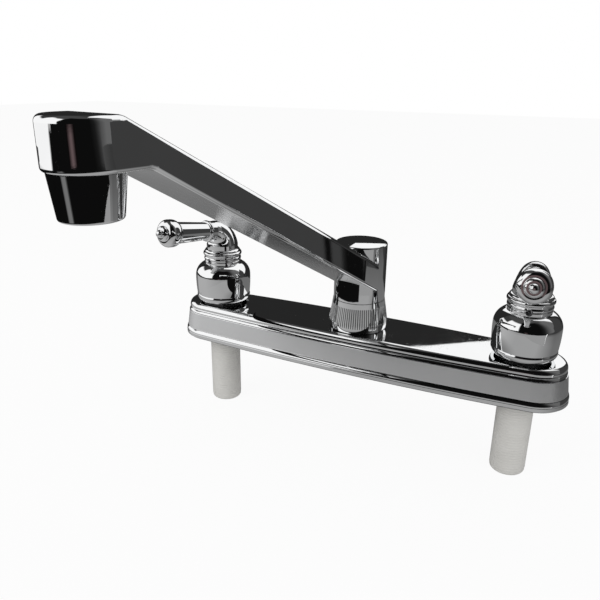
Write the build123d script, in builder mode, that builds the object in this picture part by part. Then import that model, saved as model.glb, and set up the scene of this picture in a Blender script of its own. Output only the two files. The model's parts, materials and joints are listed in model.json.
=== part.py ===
from build123d import *
from math import acos, asin, atan2, cos, degrees, hypot, radians, sin
import os

# Two handle kitchen faucet on an 8 inch deck plate.
# Millimetres. The origin lies on the sink deck under the spout, +Z is up,
# +X runs along the base to the right handle and -Y points to the user.

os.makedirs("parts", exist_ok=True)

# ---------------------------------------------------------------- fits
running_clearance = 0.08      # radial, a shaft turning in its bore
slip_clearance = 0.05         # radial, pieces pushed together for good
thread_clearance = 0.15       # radial, between a nut and its thread
hole_clearance = 0.3          # radial, where a piece only passes through
axial_play = 0.3              # between faces that turn past each other
face_gap = 0.1                # between stacked inner pieces

# ---------------------------------------------------------------- base
inlet_spread = 203.2          # between the two shanks
base_end_margin = 28.1        # shank axis to the end of the base
base_width = 50.8             # over the middle of the bowed sides
end_radius = 21.5
shell_wall = 2.2
plate_thickness = 0.8
plate_inset = 1.0
lip_height = 2.0
shoulder_height = 3.2
wall_height = 11.8
bead_height = 2.0
riser_height = 1.3
roll_height = 3.5
lip_step = 0.15               # insets are measured in from the lip
shoulder_inset = 0.9
shoulder_bulge_inset = 0.3
shoulder_bulge_rise = 1.9
wall_inset = 2.5
bead_inset = 3.5
bead_bulge_inset = 3.1
bead_bulge_rise = 1.4
riser_inset = 3.2
roll_inset = 6.2
crease_width = 0.3
crease_depth = 0.45
inner_foot_inset = 2.4
inner_top_inset = 5.9
deck_seam_inset = 9.0
deck_overlap = 1.0

# ---------------------------------------------------------------- valve bodies and manifold
shank_radius = 10.3
shank_length = 51.2
collar_step = 0.5             # the shank is this much thicker inside the base
shank_rounding = 1.8
supply_bore = 6.4
body_radius = 12.6
body_foot = 3.0
body_flange_radius = 15.0
body_flange_thickness = 2.0
boss_radius = 12.0
boss_rise = 5.2               # above the deck
seat_floor = 8.0
cartridge_bore = 9.2
tube_level = 14.6
tube_radius = 5.5
tube_bore = 3.5
tube_engagement = 2.8
post_body_radius = 16.0
post_radius = 13.75
post_rise = 12.4              # above the deck
post_bore = 10.1
post_floor = 4.0
post_bore_floor = 10.0

# ---------------------------------------------------------------- valve inner pieces
seat_height = 2.5
disc_height = 2.5
disc_radius = 7.5
disc_port_radius = 1.9
disc_port_offset = 4.2
disc_slot_depth = 1.0
tang_width = 2.8
tang_length = 10.0
cartridge_cavity_wall = 1.5
cartridge_flange_radius = 11.0
cartridge_flange_thickness = 1.6
cartridge_hex_flats = 16.0
cartridge_hex_height = 3.6
cartridge_window_width = 5.0
bonnet_flats = 26.0
bonnet_height = 4.0
bonnet_chamfer = 0.5
stem_flange_thickness = 1.9
stem_radius = 5.0
stem_shoulder_rise = 3.4      # above the deck
stem_tip_radius = 3.95
stem_flat_depth = 0.6
stem_flat_height = 10.0
oring_section = 0.5
oring_rise = 0.4              # centre of the stem seal, below the deck

# ---------------------------------------------------------------- handles
left_turn = -13.7             # lever directions, turned from straight to the front
right_turn = 4.8
bell_gap = 2.6                # above the deck
bell_wall = 2.3
foot_radius = 17.7
foot_bead_radius = 18.45
foot_bead_height = 3.8
bulb_step = 0.3
bulb_foot_radius = 18.3
bulb_mid_radius = 18.78
bulb_radius = 18.85
bulb_height = 12.7
shoulder_radius = 9.5
neck_radius = 12.4
neck_height = 2.0
ring_root_radius = 12.15
lower_ring_radius = 12.65
lower_ring_height = 2.6
ring_gap = 0.7
collar_radius = 13.15
collar_height = 2.8
flare_height = 1.8
rim_radius = 10.65
rim_height = 3.0
hub_radius = 8.0
hub_gap = 2.5                 # hub above the cartridge
ceiling_angle = 60.0          # where the cavity's round corner ends
stem_cover = 4.3              # solid above the stem bore
stem_top_gap = 1.0
screw_radius = 1.9
screw_rise = 2.3              # above the neck's foot
screw_end_radius = 9.6
screw_socket_flats = 1.6
screw_socket_depth = 2.0
elbow_bend_radius = 10.5
elbow_tip_radius = 6.5
elbow_neck_length = 3.9
lever_rise = 7.4              # degrees above level
elbow_sections = 7

# ---------------------------------------------------------------- levers and finials
lever_ring_radius = 7.1
lever_ring_width = 2.2
lever_root_radius = 5.85
lever_length = 26.7
lever_end_radius = 7.0
spigot_radius = 3.5
spigot_length = 4.0
finial_root_radius = 6.9
finial_shoulder_length = 4.5
finial_shoulder_step = 0.4
finial_radius = 8.8
finial_band = 2.1
finial_dome_length = 3.5
finial_dome_radius = 6.0
finial_dome_mid_length = 2.3
finial_dome_mid_radius = 7.9
finial_tier_radius = 5.1
finial_tier_length = 2.3
finial_tier_tip_radius = 3.6
finial_tier_mid_length = 1.4
finial_tier_mid_radius = 4.65
nipple_radius = 2.6
nipple_length = 2.6
nipple_tip_radius = 0.6
nipple_mid_length = 1.95
nipple_mid_radius = 1.87

# ---------------------------------------------------------------- spout
spout_turn = -10.3            # swing of the arm, turned from straight to the front
pillar_radius = 16.05
pillar_height = 35.4
pillar_edge = 1.0
pillar_bore = 6.4
arm_half_width = 15.4         # at the pillar
head_radius = 15.7
head_reach = 188.3            # pillar axis to the centre of the head's round front
underside_rise = 4.9          # arm's underside at the pillar axis, above the pillar's foot
underside_setback = 15.9      # underside's kink, back from the centre of the head's round front
underside_climb = 94.1        # rise of the underside from the axis to the kink
arm_top_rise = 22.9
top_setback = 5.2             # top's kink, back from the same centre
head_thickness = 19.0
kink_round = 8.0
top_edge_radius = 2.6
bottom_edge_radius = 1.7
facing_limit = 0.5            # slope that tells top and bottom faces from side faces
channel_wall = 3.2
channel_half_width = 11.8
channel_nose_wall = 8.4
channel_step_setback = 11.3
channel_slope_setback = 9.3
channel_floor_rise = 7.7      # channel floor in the head, above the head's underside
nut_lip_thickness = 2.6
nut_lip_radius = 12.3
nut_foot_gap = 0.3
nut_height = 18.7
nut_top_radius = 16.2
nut_foot_radius = 17.9
nut_low_bulge_radius = 18.25
nut_widest_radius = 18.4
nut_widest_rise = 5.1
nut_band = 3.0
knurl_foot = 3.1
knurl_count = 82
knurl_radius = 0.45
knurl_depth = 0.3
tail_flange = 1.2
ring_groove_depth = 1.0
retaining_height = 2.0
retaining_radius = 13.4
retaining_split = 2.5
tail_radius = 9.8
tail_foot = 20.0
spout_seal_section = 0.9
spout_seal_groove = 2.4
lower_seal_level = 23.2
upper_seal_level = 30.2

# ---------------------------------------------------------------- aerator
aerator_lead = 0.6            # aerator's axis, past the centre of the head's round front
aerator_gap = 0.2
aerator_height = 16.9
aerator_top_radius = 13.7
aerator_foot_radius = 11.6
aerator_foot_rounding = 1.1
aerator_thread_radius = 9.9
aerator_thread_height = 4.7
aerator_bore = 8.6
aerator_lip_height = 3.0
aerator_lip_bore = 7.6
head_passage_radius = 6.5
washer_thickness = 1.5
insert_floor = 2.0
insert_wall = 1.2
insert_height = 11.0
insert_hole_radius = 0.6
insert_hole_pitch = 2.2
insert_hole_rings = 3
insert_ring_holes = 6         # more in each ring than in the one inside it

# ---------------------------------------------------------------- worked out from these
inlet_x = inlet_spread / 2
lip_top = plate_thickness + lip_height
shoulder_top = lip_top + shoulder_height
wall_top = shoulder_top + wall_height
bead_top = wall_top + bead_height
riser_top = bead_top + riser_height
deck_level = riser_top + roll_height
deck_underside = deck_level - shell_wall

end_centre = inlet_x + base_end_margin - end_radius
bow_radius = (end_centre**2 + (base_width / 2) ** 2 - end_radius**2) / (base_width - 2 * end_radius)
bow_centre = bow_radius - base_width / 2
bow_angle = degrees(asin(end_centre / (bow_radius - end_radius)))

boss_top = deck_level + boss_rise
post_top = deck_level + post_rise
seat_top = seat_floor + seat_height
fixed_disc_foot = seat_top + face_gap
fixed_disc_top = fixed_disc_foot + disc_height
turning_disc_foot = fixed_disc_top + slip_clearance
turning_disc_top = turning_disc_foot + disc_height
stem_flange_foot = turning_disc_top + 2 * face_gap
stem_flange_top = stem_flange_foot + stem_flange_thickness
cartridge_cavity_top = stem_flange_top + 2 * face_gap
stem_shoulder = deck_level + stem_shoulder_rise
stem_bore = stem_radius + running_clearance
stem_seal_level = deck_level - oring_rise
cartridge_radius = cartridge_bore - slip_clearance
cartridge_cavity = cartridge_radius - cartridge_cavity_wall
cartridge_flange_top = boss_top + cartridge_flange_thickness
cartridge_top = cartridge_flange_top + cartridge_hex_height

bell_foot = deck_level + bell_gap
bulb_foot = bell_foot + foot_bead_height
shoulder_level = bulb_foot + bulb_height
shoulder_centre = bulb_radius - shoulder_radius
shoulder_end_angle = acos((neck_radius + bulb_step - shoulder_centre) / shoulder_radius)
neck_foot = shoulder_level + shoulder_radius * sin(shoulder_end_angle)
neck_top = neck_foot + neck_height
lower_ring_top = neck_top + lower_ring_height
collar_foot = lower_ring_top + ring_gap
collar_top = collar_foot + collar_height
flare_top = collar_top + flare_height
rim_top = flare_top + rim_height
hub_foot = cartridge_top + hub_gap
stem_bore_top = rim_top - stem_cover
stem_top = stem_bore_top - stem_top_gap
screw_level = neck_foot + screw_rise
elbow_turn = 90 - lever_rise
elbow_end = (
    elbow_bend_radius * (1 - cos(radians(elbow_turn))),
    rim_top + elbow_bend_radius * sin(radians(elbow_turn)),
)

nut_foot = deck_level + nut_foot_gap
nut_top = nut_foot + nut_height
pillar_foot = nut_top + axial_play
pillar_top = pillar_foot + pillar_height
lip_underside = nut_top - nut_lip_thickness
retaining_top = lip_underside - axial_play
retaining_foot = retaining_top - retaining_height
tail_step = retaining_foot - tail_flange
tail_upper_radius = nut_lip_radius - hole_clearance
ring_groove_radius = tail_upper_radius - ring_groove_depth
underside_level = pillar_foot + underside_rise
head_underside = underside_level + underside_climb
arm_top_level = pillar_foot + arm_top_rise
underside_kink = head_reach - underside_setback
top_kink = head_reach - top_setback
head_top = head_underside + head_thickness
aerator_reach = head_reach + aerator_lead
aerator_top = head_underside - aerator_gap
aerator_foot = aerator_top - aerator_height
aerator_neck_top = aerator_top + aerator_thread_height
head_bore_top = aerator_neck_top + washer_thickness

# The side view holds the arm or lever that points to the user: local X is
# the reach from the turning axis and local Y is the height.
side_view = Plane(origin=(0, 0, 0), x_dir=(0, -1, 0), z_dir=(-1, 0, 0))


def plan_outline(inset):
    """Outline of the base seen from above, drawn in from the lip by inset."""
    bow = bow_radius - inset
    end = end_radius - inset
    with BuildSketch() as plan:
        with BuildLine():
            CenterArc((0, bow_centre), bow, 270 - bow_angle, 2 * bow_angle)
            CenterArc((end_centre, 0), end, bow_angle - 90, 180 - 2 * bow_angle)
            CenterArc((0, -bow_centre), bow, 90 - bow_angle, 2 * bow_angle)
            CenterArc((-end_centre, 0), end, 90 + bow_angle, 180 - 2 * bow_angle)
        make_face()
    return plan.sketch


def save_placed(shape, name, spot):
    """Writes a finished piece under its name, moved to its spot."""
    with BuildPart() as piece:
        with Locations(spot):
            add(shape)
    piece.part.label = name
    export_step(piece.part, f"parts/{name}.step")


# ---------------------------------------------------------------- escutcheon
# The moulded edge is one section carried round the plan outline.
with BuildPart() as escutcheon:
    with BuildLine() as edge_path:
        CenterArc((0, bow_centre), bow_radius, 270, bow_angle)
        CenterArc((end_centre, 0), end_radius, bow_angle - 90, 180 - 2 * bow_angle)
        CenterArc((0, -bow_centre), bow_radius, 90 - bow_angle, 2 * bow_angle)
        CenterArc((-end_centre, 0), end_radius, 90 + bow_angle, 180 - 2 * bow_angle)
        CenterArc((0, bow_centre), bow_radius, 270 - bow_angle, bow_angle)
    section_plane = Plane(origin=(0, -base_width / 2, 0), x_dir=(0, 1, 0), z_dir=(1, 0, 0))
    with BuildSketch(section_plane) as edge_section:
        with BuildLine():
            Polyline(
                (inner_foot_inset, plate_thickness),
                (0, plate_thickness),
                (0, lip_top),
                (crease_depth, lip_top),
                (crease_depth, lip_top + crease_width),
                (lip_step, lip_top + crease_width),
            )
            ThreePointArc(
                (lip_step, lip_top + crease_width),
                (shoulder_bulge_inset, lip_top + shoulder_bulge_rise),
                (shoulder_inset, shoulder_top),
            )
            Polyline(
                (shoulder_inset, shoulder_top),
                (shoulder_inset + crease_depth, shoulder_top),
                (shoulder_inset + crease_depth, shoulder_top + crease_width),
                (shoulder_inset, shoulder_top + crease_width),
                (wall_inset, wall_top),
                (wall_inset + 2 * crease_depth, wall_top),
                (wall_inset + 2 * crease_depth, wall_top + crease_width),
                (wall_inset + crease_depth, wall_top + crease_width),
            )
            ThreePointArc(
                (wall_inset + crease_depth, wall_top + crease_width),
                (bead_bulge_inset, wall_top + bead_bulge_rise),
                (bead_inset, bead_top),
            )
            Polyline(
                (bead_inset, bead_top),
                (bead_inset + crease_depth, bead_top),
                (bead_inset + crease_depth, bead_top + crease_width),
                (riser_inset, bead_top + crease_width),
                (riser_inset, riser_top),
            )
            EllipticalCenterArc(
                (roll_inset, riser_top), roll_inset - riser_inset, roll_height, start_angle=90, arc_size=90
            )
            Polyline(
                (roll_inset, deck_level),
                (deck_seam_inset, deck_level),
                (deck_seam_inset, deck_underside),
                (inner_top_inset, deck_underside),
                (inner_foot_inset, plate_thickness),
            )
        make_face()
    sweep(path=edge_path.wire())
    with BuildSketch(Plane.XY.offset(deck_underside)):
        add(plan_outline(deck_seam_inset - deck_overlap))
    extrude(amount=shell_wall)
    with Locations((-inlet_x, 0, deck_level), (inlet_x, 0, deck_level)):
        Hole(boss_radius + hole_clearance, depth=shell_wall)
    with Locations((0, 0, deck_level)):
        Hole(post_radius + hole_clearance, depth=shell_wall)
escutcheon.part.label = "escutcheon"
export_step(escutcheon.part, "parts/escutcheon.step")

# ---------------------------------------------------------------- base plate
with BuildPart() as base_plate:
    with BuildSketch():
        add(plan_outline(plate_inset))
        with Locations((-inlet_x, 0), (inlet_x, 0)):
            Circle(shank_radius + collar_step + hole_clearance, mode=Mode.SUBTRACT)
    extrude(amount=plate_thickness)
base_plate.part.label = "base_plate"
export_step(base_plate.part, "parts/base_plate.step")

# ---------------------------------------------------------------- valve bodies
# Modelled on the turning axis with the manifold's tube coming in from +X.
with BuildPart() as valve_body:
    with BuildSketch(Plane.XZ):
        with BuildLine():
            Polyline(
                (supply_bore, -shank_length),
                (shank_radius, -shank_length),
                (shank_radius, 0),
                (shank_radius + collar_step, 0),
                (shank_radius + collar_step, body_foot),
                (body_radius, body_foot),
                (body_radius, deck_underside - body_flange_thickness),
                (body_flange_radius, deck_underside - body_flange_thickness),
                (body_flange_radius, deck_underside),
                (boss_radius, deck_underside),
                (boss_radius, boss_top),
                (cartridge_bore, boss_top),
                (cartridge_bore, seat_floor),
                (supply_bore, seat_floor),
                close=True,
            )
        make_face()
    revolve(axis=Axis.Z)
    shank_end = valve_body.edges().filter_by(GeomType.CIRCLE).group_by(Axis.Z)[0]
    fillet(shank_end.sort_by(SortBy.RADIUS)[-1], radius=shank_rounding)
    with BuildSketch(Plane.YZ.offset(body_radius - tube_engagement)):
        with Locations((0, tube_level)):
            Circle(tube_radius + slip_clearance)
    extrude(amount=tube_engagement, mode=Mode.SUBTRACT)
    with BuildSketch(Plane.YZ):
        with Locations((0, tube_level)):
            Circle(tube_bore)
    extrude(amount=body_radius, mode=Mode.SUBTRACT)

# ---------------------------------------------------------------- manifold
# The post that carries the spout, with a tube to each valve body.
with BuildPart() as manifold:
    with BuildSketch(Plane.XY.offset(post_floor)):
        Circle(post_body_radius)
    extrude(amount=deck_underside - post_floor)
    with BuildSketch(Plane.XY.offset(deck_underside)):
        Circle(post_radius)
    extrude(amount=post_top - deck_underside)
    with BuildSketch(Plane.YZ):
        with Locations((0, tube_level)):
            Circle(tube_radius)
    extrude(amount=inlet_x - body_radius + tube_engagement - face_gap, both=True)
    with BuildSketch(Plane.XY.offset(post_top)):
        Circle(post_bore)
    extrude(amount=post_bore_floor - post_top, mode=Mode.SUBTRACT)
    with BuildSketch(Plane.YZ):
        with Locations((0, tube_level)):
            Circle(tube_bore)
    extrude(amount=inlet_x, both=True, mode=Mode.SUBTRACT)
manifold.part.label = "manifold"
export_step(manifold.part, "parts/manifold.step")

# ---------------------------------------------------------------- valve inner pieces
with BuildPart() as bonnet_nut:
    with BuildSketch(Plane.XY.offset(deck_level)):
        RegularPolygon(bonnet_flats / 2, side_count=6, major_radius=False)
        Circle(boss_radius + thread_clearance, mode=Mode.SUBTRACT)
    extrude(amount=bonnet_height)
    chamfer(bonnet_nut.edges().filter_by(GeomType.LINE).group_by(Axis.Z)[-1], length=bonnet_chamfer)

with BuildPart() as valve_seat:
    with BuildSketch(Plane.XY.offset(seat_floor)):
        Circle(cartridge_bore - slip_clearance)
        Circle(supply_bore, mode=Mode.SUBTRACT)
    extrude(amount=seat_height)

with BuildPart() as cartridge:
    with BuildSketch(Plane.XZ):
        with BuildLine():
            Polyline(
                (cartridge_cavity, fixed_disc_foot),
                (cartridge_radius, fixed_disc_foot),
                (cartridge_radius, boss_top),
                (cartridge_flange_radius, boss_top),
                (cartridge_flange_radius, cartridge_flange_top),
                (stem_tip_radius + hole_clearance, cartridge_flange_top),
                (stem_tip_radius + hole_clearance, stem_shoulder + axial_play),
                (stem_bore, stem_shoulder + axial_play),
                (stem_bore, cartridge_cavity_top),
                (cartridge_cavity, cartridge_cavity_top),
                close=True,
            )
        make_face()
    revolve(axis=Axis.Z)
    with BuildSketch(Plane.XY.offset(cartridge_flange_top)):
        RegularPolygon(cartridge_hex_flats / 2, side_count=6, major_radius=False)
        Circle(stem_tip_radius + hole_clearance, mode=Mode.SUBTRACT)
    extrude(amount=cartridge_hex_height)
    with BuildSketch(Plane.YZ):
        with Locations((0, (turning_disc_top + cartridge_cavity_top) / 2)):
            Rectangle(cartridge_window_width, cartridge_cavity_top - turning_disc_top)
    extrude(amount=cartridge_bore, both=True, mode=Mode.SUBTRACT)

with BuildPart() as fixed_disc:
    with BuildSketch(Plane.XY.offset(fixed_disc_foot)):
        Circle(disc_radius)
        with PolarLocations(disc_port_offset, 2):
            Circle(disc_port_radius, mode=Mode.SUBTRACT)
    extrude(amount=disc_height)

with BuildPart() as turning_disc:
    with BuildSketch(Plane.XY.offset(turning_disc_foot)):
        Circle(disc_radius - face_gap)
        with PolarLocations(disc_port_offset, 2, start_angle=90):
            Circle(disc_port_radius, mode=Mode.SUBTRACT)
    extrude(amount=disc_height)
    with BuildSketch(Plane.XY.offset(turning_disc_top)):
        Rectangle(tang_length + 2 * face_gap, tang_width + 2 * face_gap)
    extrude(amount=-disc_slot_depth, mode=Mode.SUBTRACT)

with BuildPart() as stem:
    with BuildSketch(Plane.XZ):
        with BuildLine():
            Polyline(
                (0, stem_flange_foot),
                (disc_radius - 2 * face_gap, stem_flange_foot),
                (disc_radius - 2 * face_gap, stem_flange_top),
                (stem_radius, stem_flange_top),
                (stem_radius, stem_seal_level - 2 * oring_section),
                (stem_radius - 2 * oring_section, stem_seal_level - 2 * oring_section),
                (stem_radius - 2 * oring_section, stem_seal_level + 2 * oring_section),
                (stem_radius, stem_seal_level + 2 * oring_section),
                (stem_radius, stem_shoulder),
                (stem_tip_radius, stem_shoulder),
                (stem_tip_radius, stem_top),
                (0, stem_top),
                close=True,
            )
        make_face()
    revolve(axis=Axis.Z)
    with BuildSketch(Plane.XY.offset(stem_flange_foot)):
        Rectangle(tang_length, tang_width)
    extrude(amount=turning_disc_top - disc_slot_depth + face_gap - stem_flange_foot)
    with BuildSketch(Plane.XY.offset(stem_top)):
        with Locations((0, -stem_tip_radius)):
            Rectangle(2 * stem_tip_radius, 2 * stem_flat_depth)
    extrude(amount=-stem_flat_height, mode=Mode.SUBTRACT)

with BuildPart() as stem_oring:
    with Locations((0, 0, stem_seal_level)):
        Torus(stem_radius - oring_section + slip_clearance, oring_section)

# ---------------------------------------------------------------- handle
# A bell over the valve, a ringed neck and an elbow that carries the lever.
with BuildPart() as handle:
    with BuildSketch(Plane.XZ):
        with BuildLine():
            cavity_radius = bulb_foot_radius - bell_wall
            ceiling_radius = shoulder_radius - bell_wall
            ceiling_reach = shoulder_centre + ceiling_radius * cos(radians(ceiling_angle))
            ceiling_level = shoulder_level + ceiling_radius * sin(radians(ceiling_angle))
            Line((cavity_radius, bell_foot), (foot_radius, bell_foot))
            ThreePointArc(
                (foot_radius, bell_foot),
                (foot_bead_radius, bell_foot + foot_bead_height / 2),
                (foot_radius + bulb_step, bulb_foot),
            )
            Line((foot_radius + bulb_step, bulb_foot), (bulb_foot_radius, bulb_foot + bulb_step))
            ThreePointArc(
                (bulb_foot_radius, bulb_foot + bulb_step),
                (bulb_mid_radius, bulb_foot + bulb_height / 2),
                (bulb_radius, shoulder_level),
            )
            CenterArc((shoulder_centre, shoulder_level), shoulder_radius, 0, degrees(shoulder_end_angle))
            Polyline(
                (neck_radius + bulb_step, neck_foot),
                (neck_radius, neck_foot),
                (neck_radius, neck_top - bulb_step),
                (ring_root_radius, neck_top),
            )
            ThreePointArc(
                (ring_root_radius, neck_top),
                (lower_ring_radius, neck_top + lower_ring_height / 2),
                (ring_root_radius, lower_ring_top),
            )
            Line((ring_root_radius, lower_ring_top), (ring_root_radius, collar_foot))
            ThreePointArc(
                (ring_root_radius, collar_foot),
                (collar_radius, collar_foot + collar_height / 2),
                (ring_root_radius, collar_top),
            )
            RadiusArc((ring_root_radius, collar_top), (rim_radius, flare_top), -flare_height)
            Polyline(
                (rim_radius, flare_top),
                (rim_radius, rim_top),
                (0, rim_top),
                (0, hub_foot),
                (hub_radius, hub_foot),
                (hub_radius, ceiling_level),
                (ceiling_reach, ceiling_level),
            )
            CenterArc((shoulder_centre, shoulder_level), ceiling_radius, 0, ceiling_angle)
            Polyline(
                (shoulder_centre + ceiling_radius, shoulder_level),
                (cavity_radius, bulb_foot),
                (cavity_radius, bell_foot),
            )
        make_face()
    revolve(axis=Axis.Z)
    for index in range(elbow_sections):
        turned = radians(elbow_turn) * index / (elbow_sections - 1)
        reach = elbow_bend_radius * (1 - cos(turned))
        level = rim_top + elbow_bend_radius * sin(turned)
        heading = (0, -sin(turned), cos(turned))
        with BuildSketch(Plane(origin=(0, -reach, level), x_dir=(1, 0, 0), z_dir=heading)):
            Circle(rim_radius + (elbow_tip_radius - rim_radius) * index / (elbow_sections - 1))
    loft()
    lever_plane = Plane(origin=(0, -elbow_end[0], elbow_end[1]), x_dir=(1, 0, 0), z_dir=heading)
    with BuildSketch(lever_plane):
        Circle(elbow_tip_radius)
    extrude(amount=elbow_neck_length)
    with BuildSketch(lever_plane.offset(elbow_neck_length)):
        Circle(spigot_radius + slip_clearance)
    extrude(amount=-spigot_length - face_gap, mode=Mode.SUBTRACT)
    with BuildSketch(Plane.XY.offset(hub_foot)):
        Circle(stem_tip_radius + slip_clearance)
    extrude(amount=stem_bore_top - hub_foot, mode=Mode.SUBTRACT)
    with BuildSketch(Plane.XZ):
        with Locations((0, screw_level)):
            Circle(screw_radius + slip_clearance)
    extrude(amount=collar_radius, mode=Mode.SUBTRACT)

lever_root = lever_plane.offset(elbow_neck_length)
lever_section = Plane(origin=lever_root.origin, x_dir=lever_root.z_dir, z_dir=(-1, 0, 0))
lever_axis = Axis(lever_root.origin, lever_root.z_dir)

with BuildPart() as set_screw:
    with BuildSketch(Plane.XZ.offset(stem_tip_radius - stem_flat_depth + slip_clearance)):
        with Locations((0, screw_level)):
            Circle(screw_radius)
    extrude(amount=screw_end_radius - stem_tip_radius)
    with BuildSketch(Plane.XZ.offset(screw_end_radius - stem_flat_depth + slip_clearance)):
        with Locations((0, screw_level)):
            RegularPolygon(screw_socket_flats / 2, side_count=6, major_radius=False)
    extrude(amount=-screw_socket_depth, mode=Mode.SUBTRACT)

# ---------------------------------------------------------------- lever and finial
with BuildPart() as lever:
    with BuildSketch(lever_section):
        with BuildLine():
            Polyline(
                (-spigot_length, 0),
                (-spigot_length, spigot_radius),
                (0, spigot_radius),
                (0, elbow_tip_radius),
            )
            ThreePointArc(
                (0, elbow_tip_radius),
                (lever_ring_width / 2, lever_ring_radius),
                (lever_ring_width, lever_root_radius),
            )
            Polyline(
                (lever_ring_width, lever_root_radius),
                (lever_length, lever_end_radius),
                (lever_length, spigot_radius + slip_clearance),
                (lever_length - spigot_length - face_gap, spigot_radius + slip_clearance),
                (lever_length - spigot_length - face_gap, 0),
                (-spigot_length, 0),
            )
        make_face()
    revolve(axis=lever_axis)

finial_shoulder_end = lever_length + finial_shoulder_length
finial_band_end = finial_shoulder_end + finial_band
finial_dome_end = finial_band_end + finial_dome_length
finial_tier_end = finial_dome_end + finial_tier_length
finial_tip = finial_tier_end + nipple_length
with BuildPart() as finial:
    with BuildSketch(lever_section):
        with BuildLine():
            Polyline(
                (finial_tip, nipple_tip_radius),
                (finial_tip, 0),
                (lever_length - spigot_length, 0),
                (lever_length - spigot_length, spigot_radius),
                (lever_length, spigot_radius),
                (lever_length, finial_root_radius),
            )
            ThreePointArc(
                (lever_length, finial_root_radius),
                (lever_length + finial_shoulder_length / 2, finial_radius - finial_shoulder_step),
                (finial_shoulder_end, finial_radius),
            )
            Line((finial_shoulder_end, finial_radius), (finial_band_end, finial_radius))
            ThreePointArc(
                (finial_band_end, finial_radius),
                (finial_band_end + finial_dome_mid_length, finial_dome_mid_radius),
                (finial_dome_end, finial_dome_radius),
            )
            Line((finial_dome_end, finial_dome_radius), (finial_dome_end, finial_tier_radius))
            ThreePointArc(
                (finial_dome_end, finial_tier_radius),
                (finial_dome_end + finial_tier_mid_length, finial_tier_mid_radius),
                (finial_tier_end, finial_tier_tip_radius),
            )
            Line((finial_tier_end, finial_tier_tip_radius), (finial_tier_end, nipple_radius))
            ThreePointArc(
                (finial_tier_end, nipple_radius),
                (finial_tier_end + nipple_mid_length, nipple_mid_radius),
                (finial_tip, nipple_tip_radius),
            )
        make_face()
    revolve(axis=lever_axis)

# ---------------------------------------------------------------- both sides
for side, inlet, half_turn, turn in (("left", -inlet_x, 0, left_turn), ("right", inlet_x, 180, right_turn)):
    standing = Location((inlet, 0, 0), (0, 0, half_turn))
    turning = Location((inlet, 0, 0), (0, 0, turn))
    save_placed(valve_body.part, f"valve_body_{side}", standing)
    save_placed(valve_seat.part, f"valve_seat_{side}", standing)
    save_placed(fixed_disc.part, f"fixed_disc_{side}", standing)
    save_placed(cartridge.part, f"cartridge_{side}", standing)
    save_placed(bonnet_nut.part, f"bonnet_nut_{side}", standing)
    save_placed(turning_disc.part, f"turning_disc_{side}", turning)
    save_placed(stem.part, f"stem_{side}", turning)
    save_placed(stem_oring.part, f"stem_oring_{side}", turning)
    save_placed(handle.part, f"handle_{side}", turning)
    save_placed(set_screw.part, f"set_screw_{side}", turning)
    save_placed(lever.part, f"lever_{side}", turning)
    save_placed(finial.part, f"finial_{side}", turning)

# ---------------------------------------------------------------- spout nut
nut_bore = post_radius + thread_clearance
nut_widest = nut_foot + nut_widest_rise
nut_taper = (nut_widest_radius - nut_top_radius) / (nut_top - nut_widest)
knurl_low = nut_foot + knurl_foot
knurl_high = nut_top - nut_band
knurl_middle = (knurl_low + knurl_high) / 2
knurl_reach = nut_top_radius + nut_taper * (nut_top - knurl_middle) + knurl_radius - knurl_depth
with BuildPart() as spout_nut:
    with BuildSketch(Plane.XZ):
        with BuildLine():
            Line((nut_bore, nut_foot), (nut_foot_radius, nut_foot))
            ThreePointArc(
                (nut_foot_radius, nut_foot),
                (nut_low_bulge_radius, nut_foot + nut_widest_rise / 2),
                (nut_widest_radius, nut_widest),
            )
            Polyline(
                (nut_widest_radius, nut_widest),
                (nut_top_radius, nut_top),
                (nut_lip_radius, nut_top),
                (nut_lip_radius, lip_underside),
                (nut_bore, lip_underside),
                (nut_bore, nut_foot),
            )
        make_face()
    revolve(axis=Axis.Z)
    with Locations((0, 0, knurl_middle)):
        with PolarLocations(knurl_reach, knurl_count):
            Cylinder(
                knurl_radius,
                knurl_high - knurl_low,
                rotation=(0, -degrees(atan2(nut_taper, 1)), 0),
                mode=Mode.SUBTRACT,
            )
spout_nut.part.label = "spout_nut"
export_step(spout_nut.part, "parts/spout_nut.step")

# ---------------------------------------------------------------- spout
# The arm is its side view cut to its plan view.
head_front = head_reach + head_radius
side_taper = atan2(head_reach, arm_half_width) - acos(head_radius / hypot(head_reach, arm_half_width))
side_end_reach = head_reach - head_radius * sin(side_taper)
side_end_width = head_radius * cos(side_taper)
underside_slope = underside_climb / underside_kink
top_slope = (head_top - arm_top_level) / top_kink
with BuildPart() as arm:
    with BuildSketch(side_view) as arm_side:
        with BuildLine():
            Polyline(
                (0, underside_level),
                (underside_kink, head_underside),
                (head_front, head_underside),
                (head_front, head_top),
                (top_kink, head_top),
                (0, arm_top_level),
                close=True,
            )
        make_face()
        fillet(arm_side.vertices().filter_by(lambda corner: 0 < corner.X < head_front), radius=kink_round)
    extrude(amount=2 * head_radius, both=True)
    with BuildSketch():
        with BuildLine():
            Polyline(
                (side_end_width, -side_end_reach),
                (arm_half_width, 0),
                (-arm_half_width, 0),
                (-side_end_width, -side_end_reach),
            )
            ThreePointArc(
                (-side_end_width, -side_end_reach),
                (0, -head_front),
                (side_end_width, -side_end_reach),
            )
        make_face()
    extrude(amount=2 * head_top, mode=Mode.INTERSECT)
    top_faces = arm.faces().filter_by(lambda face: face.normal_at().Z > facing_limit)
    fillet(top_faces.edges().filter_by(Axis.X, reverse=True), radius=top_edge_radius)
    bottom_faces = arm.faces().filter_by(lambda face: face.normal_at().Z < -facing_limit)
    fillet(bottom_faces.edges().filter_by(Axis.X, reverse=True), radius=bottom_edge_radius)

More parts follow.
